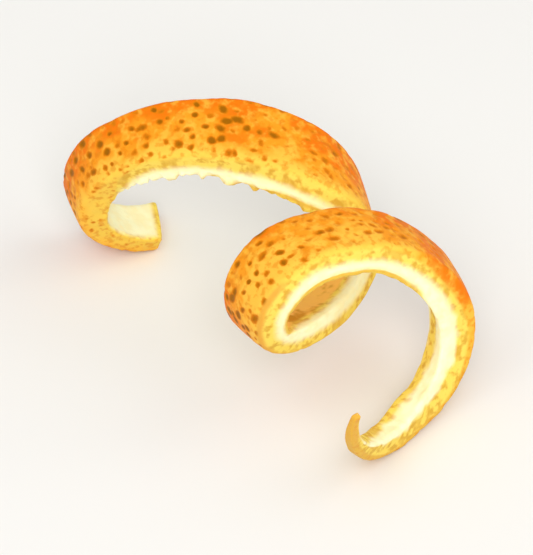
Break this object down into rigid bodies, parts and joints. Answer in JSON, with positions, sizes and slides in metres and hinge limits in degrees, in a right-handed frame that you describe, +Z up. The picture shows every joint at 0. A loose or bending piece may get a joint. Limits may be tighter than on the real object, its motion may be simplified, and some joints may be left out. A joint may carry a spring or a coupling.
{
  "type": "orange peel twist",
  "caption": "Knife-cut strip of fresh orange peel curled into a loose coil, with dimpled orange zest outside, pale pith inside and a thin hooked tip.",
  "frame": {"origin": "on the floor, under the middle of the coil's bounding box", "axes": "+X along the coil from the wide cut end to the hooked tip, +Z up from the floor that the coil lies on, +Y to the back"},
  "size_m": [0.0454, 0.02, 0.0195],
  "materials": {
    "rind": "waxy, dimpled orange zest outside; matt cream pith inside and along the cut edges"
  },
  "bodies": {
    "root": {"orange_peel": "rind"}
  },
  "joints": []
}
